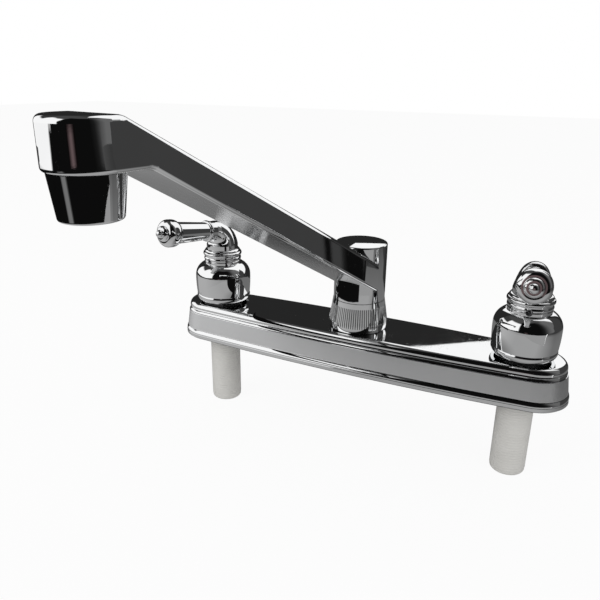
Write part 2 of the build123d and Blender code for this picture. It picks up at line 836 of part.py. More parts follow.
spout_seal_reach = post_bore - running_clearance - spout_seal_section
seal_groove_radius = spout_seal_reach - spout_seal_section - slip_clearance
channel_rise = channel_wall * hypot(1, underside_slope)
channel_floor = head_underside + channel_floor_rise
channel_step = head_reach - channel_step_setback
channel_slope_end = head_reach - channel_slope_setback
channel_end = head_front - channel_nose_wall
with BuildPart() as spout:
    with BuildSketch(Plane.XY.offset(pillar_foot)):
        Circle(pillar_radius)
    extrude(amount=pillar_height)
    fillet(spout.edges().group_by(Axis.Z)[-1], radius=pillar_edge)
    add(arm.part)
    with BuildSketch(Plane.XZ):
        with BuildLine():
            Polyline(
                (0, tail_foot),
                (tail_radius, tail_foot),
                (tail_radius, tail_step),
                (tail_upper_radius, tail_step),
                (tail_upper_radius, retaining_foot),
                (ring_groove_radius, retaining_foot),
                (ring_groove_radius, retaining_top),
                (tail_upper_radius, retaining_top),
                (tail_upper_radius, pillar_foot),
                (0, pillar_foot),
                close=True,
            )
        make_face()
    revolve(axis=Axis.Z)
    for seal_level in (lower_seal_level, upper_seal_level):
        with BuildSketch(Plane.XY.offset(seal_level - spout_seal_groove / 2)):
            Circle(tail_radius + axial_play)
            Circle(seal_groove_radius, mode=Mode.SUBTRACT)
        extrude(amount=spout_seal_groove, mode=Mode.SUBTRACT)
    with BuildSketch(Plane.XY.offset(tail_foot)):
        Circle(pillar_bore)
    extrude(amount=arm_top_level - 2 * channel_rise - tail_foot, mode=Mode.SUBTRACT)
    with BuildSketch(side_view):
        with BuildLine():
            Polyline(
                (-pillar_bore, underside_level + channel_rise - underside_slope * pillar_bore),
                (channel_step, underside_level + channel_rise + underside_slope * channel_step),
                (channel_slope_end, channel_floor),
                (channel_end, channel_floor),
                (channel_end, head_top - channel_wall),
                (top_kink, head_top - channel_wall),
                (-pillar_bore, arm_top_level - channel_rise - top_slope * pillar_bore),
                close=True,
            )
        make_face()
    extrude(amount=channel_half_width, both=True, mode=Mode.SUBTRACT)
    with BuildSketch(Plane.XY.offset(head_underside)):
        with Locations((0, -aerator_reach)):
            Circle(aerator_thread_radius + thread_clearance)
    extrude(amount=head_bore_top - head_underside, mode=Mode.SUBTRACT)
    with BuildSketch(Plane.XY.offset(head_underside)):
        with Locations((0, -aerator_reach)):
            Circle(head_passage_radius)
    extrude(amount=channel_floor - head_underside, mode=Mode.SUBTRACT)

with BuildPart() as retaining_ring:
    with BuildSketch(Plane.XY.offset(retaining_foot)):
        Circle(retaining_radius)
        Circle(ring_groove_radius + slip_clearance, mode=Mode.SUBTRACT)
        with Locations((0, retaining_radius)):
            Rectangle(retaining_split, retaining_radius, mode=Mode.SUBTRACT)
    extrude(amount=retaining_height)

with BuildPart() as spout_seal:
    Torus(spout_seal_reach, spout_seal_section)

# ---------------------------------------------------------------- aerator
with BuildPart() as aerator_housing:
    with BuildSketch(Plane.XZ):
        with BuildLine():
            Polyline(
                (aerator_lip_bore, aerator_foot),
                (aerator_foot_radius, aerator_foot),
                (aerator_top_radius, aerator_top),
                (aerator_thread_radius, aerator_top),
                (aerator_thread_radius, aerator_neck_top),
                (aerator_bore, aerator_neck_top),
                (aerator_bore, aerator_foot + aerator_lip_height),
                (aerator_lip_bore, aerator_foot + aerator_lip_height),
                close=True,
            )
        make_face()
    revolve(axis=Axis.Z)
    foot_edges = aerator_housing.edges().filter_by(GeomType.CIRCLE).group_by(Axis.Z)[0]
    fillet(foot_edges.sort_by(SortBy.RADIUS)[-1], radius=aerator_foot_rounding)

insert_foot = aerator_foot + aerator_lip_height
with BuildPart() as aerator_insert:
    with BuildSketch(Plane.XY.offset(insert_foot)):
        Circle(aerator_bore - slip_clearance)
        Circle(insert_hole_radius, mode=Mode.SUBTRACT)
        for ring in range(1, insert_hole_rings + 1):
            with PolarLocations(ring * insert_hole_pitch, insert_ring_holes * ring):
                Circle(insert_hole_radius, mode=Mode.SUBTRACT)
    extrude(amount=insert_floor)
    with BuildSketch(Plane.XY.offset(insert_foot + insert_floor)):
        Circle(aerator_bore - slip_clearance)
        Circle(aerator_bore - slip_clearance - insert_wall, mode=Mode.SUBTRACT)
    extrude(amount=insert_height - insert_floor)

with BuildPart() as aerator_washer:
    with BuildSketch(Plane.XY.offset(aerator_neck_top)):
        Circle(aerator_thread_radius)
        Circle(head_passage_radius, mode=Mode.SUBTRACT)
    extrude(amount=washer_thickness)

swing = Location((0, 0, 0), (0, 0, spout_turn))
aerator_spot = swing * Location((0, -aerator_reach, 0))
save_placed(spout.part, "spout", swing)
save_placed(retaining_ring.part, "retaining_ring", swing)
save_placed(spout_seal.part, "spout_seal_lower", Location((0, 0, lower_seal_level)))
save_placed(spout_seal.part, "spout_seal_upper", Location((0, 0, upper_seal_level)))
save_placed(aerator_housing.part, "aerator_housing", aerator_spot)
save_placed(aerator_insert.part, "aerator_insert", aerator_spot)
save_placed(aerator_washer.part, "aerator_washer", aerator_spot)
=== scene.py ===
import json
import math
import bpy
from mathutils import Matrix, Vector


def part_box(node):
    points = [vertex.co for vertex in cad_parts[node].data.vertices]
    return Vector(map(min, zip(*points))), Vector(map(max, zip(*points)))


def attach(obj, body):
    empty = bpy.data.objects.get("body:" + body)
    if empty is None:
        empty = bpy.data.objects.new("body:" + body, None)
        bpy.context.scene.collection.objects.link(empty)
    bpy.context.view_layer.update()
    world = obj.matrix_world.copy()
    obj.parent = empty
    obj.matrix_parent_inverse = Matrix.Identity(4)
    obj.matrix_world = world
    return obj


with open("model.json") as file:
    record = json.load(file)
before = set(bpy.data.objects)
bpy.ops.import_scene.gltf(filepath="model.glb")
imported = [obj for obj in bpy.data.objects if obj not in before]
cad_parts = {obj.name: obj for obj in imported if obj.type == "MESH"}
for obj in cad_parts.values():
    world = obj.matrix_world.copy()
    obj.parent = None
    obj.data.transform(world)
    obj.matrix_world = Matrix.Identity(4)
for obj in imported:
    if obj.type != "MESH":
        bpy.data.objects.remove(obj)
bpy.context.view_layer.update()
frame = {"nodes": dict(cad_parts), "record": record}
nodes = frame["nodes"]

# ------------------------------------------------------------------ places on the part, in metres
# RISE and FALL are pairs: where a zone starts to fade in or out, and where that ends. The thread's
# profile goes across the pitch, with the share of the rise there, and its run-out is in turns.
FLOOR_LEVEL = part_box("valve_body_left")[0].z
INLET_X = sum(corner.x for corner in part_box("valve_body_right")) / 2
UP = Vector((0, 0, 1))
ACROSS = (1, 1, 0)

SHANK_RADIUS = 0.0103
THREAD_FOOT = FLOOR_LEVEL + 0.0020
THREAD_LENGTH = 0.0449
THREAD_PITCH = 0.001814
THREAD_RISE = 0.00022
THREAD_SINK = 0.00003
THREAD_STEPS = 60
THREAD_RUN_OUT = 0.6
THREAD_WIDTH = 0.96
THREAD_PROFILE = ((-0.5, 0.0), (-0.12, 1.0), (0.12, 1.0), (0.5, 0.0))

WALL_RISE = (0.0063, 0.0065)
WALL_FALL = (0.01745, 0.01765)
WALL_ROUGHNESS = 0.4
RIMS_RISE = (0.0030, 0.0050)
RIMS_FALL = (0.0204, 0.0212)
RIM_LEAN = 0.42

KNURL_COUNT = 82
KNURL_RISE = (0.02785, 0.02825)
KNURL_FALL = (0.04005, 0.04045)
KNURL_GROOVE = (0.10, 0.26)
HALF_GROOVE = 0.5
# The share of the chrome's colour that the painted shade in the knurl's grooves takes away.
GROOVE_SHADE_SHARE = 0.85
NUT_RISE = (0.02925, 0.03045)
NUT_LEAN = -0.16

SPOUT_TURN = math.radians(-10.3)
ARM_OUT = Vector((math.sin(SPOUT_TURN), -math.cos(SPOUT_TURN), 0))
ARM_ASIDE = Vector((math.cos(SPOUT_TURN), math.sin(SPOUT_TURN), 0))
ARM_RISE = (0.019, 0.022)
ARM_FALL = (0.150, 0.180)
SIDE_RISE = (0.0142, 0.0150)
SIDE_LEAN_UP = 0.096
SIDE_LEAN_BACK = 0.07
UNDERSIDE_FALL = (-0.9, -0.7)
UNDERSIDE_ROUGHNESS = 0.14
CAP_RISE = (0.0787, 0.0791)
CAP_FALL = (0.0172, 0.0182)
CAP_DOME = 9.0

# ------------------------------------------------------------------ material numbers
# A SPAN is the part of a noise that is used, and a ROUGHNESS pair is what it becomes at its two ends.
NOISE_STOPS = (0.3, 0.75)
NOISE_SPAN = (0.3, 0.7)
PLASTIC_SPREAD = 0.12
METAL_SPREAD = 0.15
CHROME_DARK = (0.90, 0.905, 0.91)
CHROME_LIGHT = (0.95, 0.955, 0.96)
HAZE_SPAN = (0.42, 0.72)
HAZE_ROUGHNESS = (0.018, 0.05)
DROP_SPAN = (0.66, 0.74)
DROP_ROUGHNESS = (0.0, 0.05)


# ------------------------------------------------------------------ node helpers
class Tree:
    """Short calls for the nodes of one node tree."""

    def __init__(self, tree):
        self.nodes = tree.nodes
        self.links = tree.links

    def node(self, kind, **settings):
        made = self.nodes.new(kind)
        for key, value in settings.items():
            setattr(made, key, value)
        return made

    def link(self, source, target):
        self.links.new(source, target)

    def feed(self, value, socket):
        """Links a socket to another node's output, or sets it to a fixed value."""
        if isinstance(value, bpy.types.NodeSocket):
            self.link(value, socket)
        else:
            socket.default_value = value

    def math(self, operation, *values):
        made = self.node("ShaderNodeMath", operation=operation)
        for value, socket in zip(values, made.inputs):
            self.feed(value, socket)
        return made.outputs[0]

    def vector(self, operation, *values):
        made = self.node("ShaderNodeVectorMath", operation=operation)
        for value, socket in zip(values, made.inputs):
            self.feed(value, socket)
        return made.outputs["Value" if operation in ("DOT_PRODUCT", "LENGTH") else "Vector"]

    def scaled(self, vector, amount):
        made = self.node("ShaderNodeVectorMath", operation="SCALE")
        self.feed(vector, made.inputs[0])
        self.feed(amount, made.inputs["Scale"])
        return made.outputs["Vector"]


class Shader(Tree):
    """A node material with short calls for what the finishes share."""

    def __init__(self, name):
        self.material = bpy.data.materials.new(name)
        self.material.use_nodes = True
        super().__init__(self.material.node_tree)
        self.principled = self.nodes["Principled BSDF"]
        coordinates = self.node("ShaderNodeTexCoord")
        self.place = coordinates.outputs["Object"]
        self.normal = coordinates.outputs["Normal"]

    def set(self, **values):
        """Gives the surface fixed values or the outputs of other nodes."""
        for key, value in values.items():
            self.feed(value, self.principled.inputs[key.replace("_", " ")])

    def axis(self, vector, name):
        made = self.node("ShaderNodeSeparateXYZ")
        self.link(vector, made.inputs[0])
        return made.outputs[name]

    def noise(self, scale, detail, roughness, stretch=(1, 1, 1)):
        mapping = self.node("ShaderNodeMapping")
        mapping.inputs["Scale"].default_value = stretch
        self.link(self.place, mapping.inputs["Vector"])
        made = self.node("ShaderNodeTexNoise")
        made.inputs["Scale"].default_value = scale
        made.inputs["Detail"].default_value = detail
        made.inputs["Roughness"].default_value = roughness
        self.link(mapping.outputs[0], made.inputs["Vector"])
        return made.outputs["Fac"]

    def span(self, value, low, high, to_low, to_high):
        """A smooth run from to_low at low to to_high at high."""
        made = self.node("ShaderNodeMapRange", interpolation_type="SMOOTHSTEP")
        self.link(value, made.inputs["Value"])
        for key, number in (("From Min", low), ("From Max", high), ("To Min", to_low), ("To Max", to_high)):
            made.inputs[key].default_value = number
        return made.outputs[0]

    def rise(self, value, start, end):
        return self.span(value, start, end, 0, 1)

    def fall(self, value, start, end):
        return self.span(value, start, end, 1, 0)

    def band(self, value, rise, fall):
        """1 from the end of the rise to the start of the fall, and 0 outside both."""
        return self.math("MULTIPLY", self.rise(value, *rise), self.fall(value, *fall))

    def coloured(self, noise, dark, light):
        """A colour that follows a noise from dark to light."""
        made = self.node("ShaderNodeValToRGB")
        for element, place, colour in zip(made.color_ramp.elements, NOISE_STOPS, (dark, light)):
            element.position = place
            element.color = (*colour, 1)
        self.link(noise, made.inputs["Fac"])
        return made.outputs["Color"]

    def bump(self, height, distance, strength, below=None):
        made = self.node("ShaderNodeBump")
        made.inputs["Distance"].default_value = distance
        made.inputs["Strength"].default_value = strength
        self.link(height, made.inputs["Height"])
        if below is not None:
            self.link(below, made.inputs["Normal"])
        return made.outputs["Normal"]


# ------------------------------------------------------------------ where the chrome differs
def base_wall(s):
    """1 on the upright wall of the base, and 0 elsewhere."""
    return s.band(s.axis(s.place, "Z"), WALL_RISE, WALL_FALL)


def satin_wall(s):
    """The roughness that the base's wall adds."""
    return s.math("MULTIPLY", base_wall(s), WALL_ROUGHNESS)


def rim_tilt(s):
    """The base's mouldings above and below its wall are shaded as if they leaned up."""
    rims = s.band(s.axis(s.place, "Z"), RIMS_RISE, RIMS_FALL)
    outside = s.math("SUBTRACT", 1, base_wall(s))
    return s.scaled(UP * RIM_LEAN, s.math("MULTIPLY", rims, outside))


def painted_groove_shade(s):
    """Painted shade: how much darker the bottoms of the nut's grooves are drawn, for the shade that falls
    in them.
    """
    angle = s.math("ARCTAN2", s.axis(s.place, "Y"), s.axis(s.place, "X"))
    grooves = s.math("MULTIPLY", angle, KNURL_COUNT / (2 * math.pi))
    from_middle = s.math("PINGPONG", grooves, HALF_GROOVE)
    knurl = s.band(s.axis(s.place, "Z"), KNURL_RISE, KNURL_FALL)
    return s.math("MULTIPLY", s.math("MULTIPLY", s.fall(from_middle, *KNURL_GROOVE), knurl), GROOVE_SHADE_SHARE)


def nut_tilt(s):
    """Above its widest ring the nut is shaded as if it leaned down."""
    return s.scaled(UP * NUT_LEAN, s.rise(s.axis(s.place, "Z"), *NUT_RISE))


def soft_underside(s):
    """The roughness that the spout adds where it faces down."""
    return s.span(s.axis(s.normal, "Z"), *UNDERSIDE_FALL, UNDERSIDE_ROUGHNESS, 0)


def side_tilt(s):
    """The flat sides of the arm are shaded as if they leaned up and toward the pillar."""
    reach = s.vector("DOT_PRODUCT", s.place, ARM_OUT)
    offset = s.math("ABSOLUTE", s.vector("DOT_PRODUCT", s.place, ARM_ASIDE))
    sides = s.math("MULTIPLY", s.rise(offset, *SIDE_RISE), s.band(reach, ARM_RISE, ARM_FALL))
    return s.scaled(UP * SIDE_LEAN_UP - ARM_OUT * SIDE_LEAN_BACK, sides)


def cap_tilt(s):
    """The flat top of the pillar is shaded as if it were a low dome."""
    outward = s.vector("MULTIPLY", s.place, ACROSS)
    inside = s.fall(s.vector("LENGTH", outward), *CAP_FALL)
    cap = s.math("MULTIPLY", inside, s.rise(s.axis(s.place, "Z"), *CAP_RISE))
    return s.scaled(outward, s.math("MULTIPLY", cap, CAP_DOME))


def leaned(s, tilts):
    """The surface's normal with its tilts, in world space."""
    normal = s.normal
    for tilt in tilts:
        normal = s.vector("ADD", normal, tilt(s))
    turned = s.node("ShaderNodeVectorTransform", vector_type="NORMAL")
    turned.convert_from = "OBJECT"
    turned.convert_to = "WORLD"
    s.link(normal, turned.inputs[0])
    return turned.outputs[0]


# ------------------------------------------------------------------ finishes
def chrome(name, roughened=None, painted_shade=None, tilts=()):
    """Bright plating: a slow waviness in the casting under it, fine haze and a few dried drops.

    What a piece has of its own comes from functions of the shader: roughness to add, a share of the
    colour to take away as painted shade, and tilts of the shading.
    """
    s = Shader(name)
    haze = s.noise(scale=38, detail=4, roughness=0.6)
    drops = s.noise(scale=420, detail=2, roughness=0.4)
    hazy = s.span(haze, *HAZE_SPAN, *HAZE_ROUGHNESS)
    rough = s.math("ADD", hazy, s.span(drops, *DROP_SPAN, *DROP_ROUGHNESS))
    if roughened:
        rough = s.math("ADD", rough, roughened(s))
    colour = s.coloured(haze, CHROME_DARK, CHROME_LIGHT)
    # Painted shade: a share of the colour is taken away where the piece asks for it.
    if painted_shade:
        colour = s.scaled(colour, s.math("SUBTRACT", 1, painted_shade(s)))
    cast = leaned(s, tilts) if tilts else None
    wave = s.bump(s.noise(scale=26, detail=1, roughness=0.3), distance=0.0006, strength=0.06, below=cast)
    grain = s.bump(s.noise(scale=900, detail=2, roughness=0.5), distance=0.00002, strength=0.10, below=wave)
    s.set(Metallic=1.0, Roughness=rough, Base_Color=colour, Normal=grain)
    return s.material


def plastic(name, dark, light, rough, grain):
    """Moulded plastic: slightly uneven colour and sheen, with a fine grain."""
    s = Shader(name)
    cloud = s.noise(scale=55, detail=4, roughness=0.55)
    s.set(
        Metallic=0.0,
        IOR=1.49,
        Base_Color=s.coloured(cloud, dark, light),
        Roughness=s.span(cloud, *NOISE_SPAN, rough, rough + PLASTIC_SPREAD),
        Normal=s.bump(s.noise(scale=2200, detail=3, roughness=0.6), distance=grain, strength=0.5),
    )
    return s.material


def turned_metal(name, dark, light, rough):
    """Machined metal with fine turning marks round the vertical axis."""
    s = Shader(name)
    lines = s.noise(scale=90, detail=5, roughness=0.7, stretch=(1, 1, 60))
    s.set(
        Metallic=1.0,
        Base_Color=s.coloured(lines, dark, light),
        Roughness=s.span(lines, *NOISE_SPAN, rough, rough + METAL_SPREAD),
        Normal=s.bump(lines, distance=0.00002, strength=0.5),
    )
    return s.material


FINISHES = {
    "chrome": chrome("chrome_plating"),
    "white_plastic": plastic(
        "white_moulding", (0.67, 0.66, 0.63), (0.75, 0.74, 0.71), rough=0.32, grain=0.00003
    ),
    "black_plastic": plastic(
        "black_moulding", (0.010, 0.010, 0.011), (0.022, 0.022, 0.023), rough=0.38, grain=0.00005
    ),
    "grey_plastic": plastic(
        "grey_moulding", (0.38, 0.39, 0.40), (0.47, 0.48, 0.49), rough=0.35, grain=0.00003
    ),
    "brass": turned_metal("turned_brass", (0.58, 0.42, 0.18), (0.78, 0.62, 0.32), rough=0.22),
    "rubber": plastic("black_rubber", (0.025, 0.025, 0.026), (0.05, 0.05, 0.05), rough=0.62, grain=0.00008),
    "ceramic": plastic("lapped_ceramic", (0.82, 0.80, 0.74), (0.90, 0.88, 0.83), rough=0.12, grain=0.00001),
    "steel": turned_metal("turned_steel", (0.42, 0.42, 0.43), (0.62, 0.62, 0.63), rough=0.26),
}
OWN_CHROME = {
    "escutcheon": chrome("chrome_plating_satin_wall", roughened=satin_wall, tilts=(rim_tilt,)),
    # The nut's knurl grooves get painted shade in the chrome's colour.
    "spout_nut": chrome("chrome_plating_knurled", painted_shade=painted_groove_shade, tilts=(nut_tilt,)),
    "spout": chrome("chrome_plating_spout", roughened=soft_underside, tilts=(side_tilt, cap_tilt)),
}
for entry in frame["record"]["subparts"]:
    mesh = nodes[entry["node"]].data
    mesh.materials.clear()
    mesh.materials.append(OWN_CHROME.get(entry["node"], FINISHES[entry["material_slot"]]))


# ------------------------------------------------------------------ object helpers
def mesh_of(name, points, faces):
    """A new mesh of these points and faces."""
    mesh = bpy.data.meshes.new(name)
    mesh.from_pydata(points, [], faces)
    return mesh


def in_scene(name, data):
    """A new object with this data, in the scene."""
    made = bpy.data.objects.new(name, data)
    bpy.context.scene.collection.objects.link(made)
    return made


# ------------------------------------------------------------------ shank threads
def thread(name, centre_x):
    """The shank's pipe thread: one shallow helical ridge, run out at both ends."""
    total = int(THREAD_LENGTH / THREAD_PITCH * THREAD_STEPS)
    run_out = THREAD_RUN_OUT * THREAD_STEPS
    corners = len(THREAD_PROFILE)
    points = []
    faces = []
    for step in range(total + 1):
        angle = 2 * math.pi * step / THREAD_STEPS
        level = THREAD_FOOT + THREAD_PITCH * step / THREAD_STEPS
        fade = min(1.0, step / run_out, (total - step) / run_out)
        for across, rise in THREAD_PROFILE:
            radius = SHANK_RADIUS - THREAD_SINK + THREAD_RISE * rise * fade
            height = level + across * THREAD_PITCH * THREAD_WIDTH
            points.append((centre_x + radius * math.cos(angle), radius * math.sin(angle), height))
    for first in range(0, corners * total, corners):
        above = first + corners
        faces += [(first + k, above + k, above + k + 1, first + k + 1) for k in range(corners - 1)]
    mesh = mesh_of(name, points, faces)
    mesh.shade_smooth()
    mesh.materials.append(FINISHES["white_plastic"])
    piece = in_scene(name, mesh)
    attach(piece, "base")


thread("shank_thread_left", -INLET_X)
thread("shank_thread_right", INLET_X)

# ------------------------------------------------------------------ floor and world
WHITE = (1, 1, 1, 1)
SKY_STRENGTH = 0.55
FLOOR_REACH = 4.0
FLOOR_COLOUR = (0.86, 0.86, 0.86, 1)
FLOOR_ROUGHNESS = 0.9
FLOOR_WHITE_SHARE = 0.93


def white_for_eye(tree, kind, lit, output, share):
    """Shows white to the camera and to reflections by the share, and the lit colour by the rest."""
    rays = tree.node("ShaderNodeLightPath").outputs
    seen = tree.math("MAXIMUM", rays["Is Camera Ray"], rays["Is Glossy Ray"])
    seen = tree.math("MAXIMUM", seen, rays["Is Transmission Ray"])
    white = tree.node(kind)
    white.inputs["Color"].default_value = WHITE
    white.inputs["Strength"].default_value = 1.0
    mix = tree.node("ShaderNodeMixShader")
    for source, socket in zip((tree.math("MULTIPLY", seen, share), lit, white.outputs[0]), mix.inputs):
        tree.link(source, socket)
    tree.link(mix.outputs[0], output.inputs["Surface"])


world = bpy.data.worlds.new("studio")
world.use_nodes = True
bpy.context.scene.world = world
sky = Tree(world.node_tree)
soft_sky = sky.nodes["Background"]
soft_sky.inputs["Color"].default_value = WHITE
soft_sky.inputs["Strength"].default_value = SKY_STRENGTH
white_for_eye(sky, "ShaderNodeBackground", soft_sky.outputs[0], sky.nodes["World Output"], share=1.0)

floor_corners = [(x * FLOOR_REACH, y * FLOOR_REACH, 0) for x, y in ((-1, -1), (1, -1), (1, 1), (-1, 1))]
floor = in_scene("floor", mesh_of("floor", floor_corners, [(0, 1, 2, 3)]))
floor.location.z = FLOOR_LEVEL
pale = Shader("pale_floor")
pale.set(Base_Color=FLOOR_COLOUR, Roughness=FLOOR_ROUGHNESS, Specular_IOR_Level=0.0)
white_for_eye(
    pale, "ShaderNodeEmission", pale.principled.outputs[0], pale.nodes["Material Output"], FLOOR_WHITE_SHARE
)
floor.data.materials.append(pale.material)

# ------------------------------------------------------------------ studio cards
# Cards that only reflections see: the walls and ceiling, the table with a black step round it, a
# reddish strip far out in front, a black block on the table and a low screen behind it. Angles are in
# degrees: azimuth 0 is the front and plus is to the right. A shade of 0 is black and 1 is white, and
# white parts of a card are left open. Three numbers are the low and high end of a zone and the width of
# its soft edges, for between(). Four numbers are the low and high end of a run and what holds there,
# for ramp().
BLACK = 0.004
OPEN_FROM = 0.99
ANGLE_STEP = 2
HALF_TURN = 180
FULL_TURN = 360

# The walls and ceiling. The front's left edge is an azimuth that depends on the elevation.
CARD_RADIUS = 2.0
DOME_LOWEST = -2
DOME_HIGHEST = 90
BEAM_SHADE = 0.04
BEAM_AZIMUTH = (-140, -74, 5)
BEAM_ELEVATION = (34, 90, 5)
CEILING_SHADE = 0.06
CEILING_AZIMUTH = (-110, 110, 12)
CEILING_ELEVATION = (56, 90, 6)
RIGHT_SHADE = (64, 92, 0.02, 0.13)
RIGHT_AZIMUTH = (50, 116, 8)
RIGHT_ELEVATION = (-90, 58, 8)
FRONT_LEFT_EDGE = (0, 6, -40, -17)
FRONT_EDGE_WIDTH = 2
FRONT_RIGHT_FADE = (54, 80, 1, 0)
FRONT_ELEVATION = (-90, 66, 5)

# The table, the step round it from its curb to the walls' foot, and a pale sheet on the step.
TABLE_LEVEL = FLOOR_LEVEL + 0.0004
TABLE_RADIUS = 0.30
TABLE_RINGS = 12
TABLE_FRONT_SHADE = (-60, 0, 0.43, 0.35)
TABLE_BACK_SHADE = 0.16
TABLE_BACK_RIGHT = (100, 180, 40)
TABLE_BACK_LEFT = (-180, -110, 30)
TABLE_FAR_FADE = (0.30, 0.60, 1.0, 0.25)
TABLE_NEAR_FADE = (0.06, 0.14, 0.45, 1.0)
BACK_RINGS = 60
CURB_SHADE = (-60, 0, 0.43, 0.31)
STEP_LEVEL = 0.012
STEP_FROM = -95
STEP_TO = 75
STEP_RINGS = 80
SHEET_SHADE = 0.17
SHEET_AZIMUTH = (-24, -17, 3)
SHEET_RADIUS = (0.45, 0.62, 0.05)
WALL_FOOT_ELEVATION = -4
WALL_FOOT_FADE = (0.9, 1.1, 0, 1)

# The reddish strip, by azimuth and by level.
CURTAIN_RADIUS = 1.2
CURTAIN_AZIMUTHS = range(1, 19)
CURTAIN_LEVELS = (STEP_LEVEL, 0.03, 0.07, 0.10)
CURTAIN_SHADE = 0.12
CURTAIN_MIDDLE = (8, 10, 6)
CURTAIN_HEIGHT = (0, 0.07, 0.03)
CURTAIN_TINT = (1, 0.7, 0.72, 1)

# The block and the screen have a row of points at their foot and one at their top.
FOOT_AND_TOP = (0, 1)
BLOCK_RADIUS = 0.070
BLOCK_AZIMUTHS = range(-80, 20, 3)
BLOCK_FOOT = (-19.7, 18, 0.0246, 0.0256)
BLOCK_TOP = 0.0445

SCREEN_Y = 0.29
SCREEN_LEFT = -1.1
SCREEN_RIGHT = 1.6
SCREEN_COLUMNS = 540
SCREEN_TALL_FROM = 0.225
SCREEN_TALL_TOP = 0.45
SCREEN_MIDDLE_TOP = 0.154
SCREEN_SLOPE = 0.29
SCREEN_LEFT_RISE = (-0.25, -0.12, 0.45, 0)
SCREEN_SHADE = (0.1, 0.225, 0.020, 0.045)
WIDE_POST = (0.229, 0.254, 0.004)
THIN_POST = (0.274, 0.280, 0.003)


def between(value, low, high, soft):
    """1 inside low..high, falling to 0 over soft outside it."""
    rise = min(1.0, max(0.0, (value - low) / soft + 1))
    fall = min(1.0, max(0.0, (high - value) / soft + 1))
    return rise * fall


def blend(first, second, share):
    return first + (second - first) * share


def ramp(value, low, high, at_low, at_high):
    """A straight run from at_low to at_high, level outside low..high."""
    return blend(at_low, at_high, min(1.0, max(0.0, (value - low) / (high - low))))


def steps(low, high, count):
    """The ends of count equal steps from low to high."""
    return [low + (high - low) * i / count for i in range(count + 1)]


def surround_shade(azimuth, elevation):
    """The walls and ceiling: white at the left and behind, black round the camera, grey at the right."""
    beam = between(azimuth, *BEAM_AZIMUTH) * between(elevation, *BEAM_ELEVATION)
    ceiling = between(azimuth, *CEILING_AZIMUTH) * between(elevation, *CEILING_ELEVATION)
    right_wall = between(azimuth, *RIGHT_AZIMUTH) * between(elevation, *RIGHT_ELEVATION)
    left_edge = ramp(elevation, *FRONT_LEFT_EDGE)
    front = ramp(azimuth, left_edge - FRONT_EDGE_WIDTH, left_edge, 0, 1) * ramp(azimuth, *FRONT_RIGHT_FADE)
    shade = blend(1.0, BEAM_SHADE, beam)
    shade = blend(shade, CEILING_SHADE, ceiling)
    shade = blend(shade, ramp(azimuth, *RIGHT_SHADE), right_wall)
    return blend(shade, BLACK, front * between(elevation, *FRONT_ELEVATION))


def table_shade(azimuth, radius):
    """The table round the faucet: lit from the front left, darker behind, far out and close to the part."""
    if azimuth > HALF_TURN:
        azimuth -= FULL_TURN
    front = ramp(azimuth, *TABLE_FRONT_SHADE)
    behind = max(between(azimuth, *TABLE_BACK_RIGHT), between(azimuth, *TABLE_BACK_LEFT))
    shade = blend(front, TABLE_BACK_SHADE, behind)
    return shade * ramp(radius, *TABLE_FAR_FADE) * ramp(radius, *TABLE_NEAR_FADE)


def curb_shade(azimuth, _level):
    """The upright front of the black step round the table."""
    return ramp(azimuth, *CURB_SHADE)


def step_shade(azimuth, radius):
    """The step's top: black, with one pale sheet on it, out to the walls' foot."""
    sheet = between(azimuth, *SHEET_AZIMUTH) * between(radius, *SHEET_RADIUS)
    wall_foot = surround_shade(azimuth, WALL_FOOT_ELEVATION)
    return blend(blend(BLACK, SHEET_SHADE, sheet), wall_foot, ramp(radius, *WALL_FOOT_FADE))


def curtain_shade(azimuth, level):
    """A strip of light that fades out to both sides and to its top."""
    return blend(BLACK, CURTAIN_SHADE, between(azimuth, *CURTAIN_MIDDLE) * between(level, *CURTAIN_HEIGHT))


def block_shade(_azimuth, _row):
    """The block is black all over."""
    return BLACK


def screen_shade(x, _row):
    """The low screen behind, nearly black at the left, with two black posts at the right."""
    posts = max(between(x, *WIDE_POST), between(x, *THIN_POST))
    return blend(ramp(x, *SCREEN_SHADE), BLACK, posts)


def screen_top(x):
    """The screen's upper edge: high at the left, falling to the right as far as a tall part."""
    if x > SCREEN_TALL_FROM:
        return SCREEN_TALL_TOP
    return SCREEN_MIDDLE_TOP - SCREEN_SLOPE * x + ramp(x, *SCREEN_LEFT_RISE)


def around(azimuth, radius, level=TABLE_LEVEL):
    """The point at this azimuth and radius round the part's middle."""
    turn = math.radians(azimuth)
    return radius * math.sin(turn), -radius * math.cos(turn), level


def on_dome(azimuth, elevation):
    """The point of the walls or ceiling seen this way, no lower than the floor."""
    climb = math.radians(elevation)
    return around(azimuth, CARD_RADIUS * math.cos(climb), max(CARD_RADIUS * math.sin(climb), FLOOR_LEVEL))


def on_curb(azimuth, level):
    return around(azimuth, TABLE_RADIUS, level)


def on_step(azimuth, radius):
    return around(azimuth, radius, STEP_LEVEL)


def on_curtain(azimuth, level):
    return around(azimuth, CURTAIN_RADIUS, level)


def on_block(azimuth, row):
    """The block's foot or top."""
    return around(azimuth, BLOCK_RADIUS, (ramp(azimuth, *BLOCK_FOOT), BLOCK_TOP)[row])


def on_screen(x, row):
    """The screen's foot or top."""
    return x, SCREEN_Y, (FLOOR_LEVEL, screen_top(x))[row]


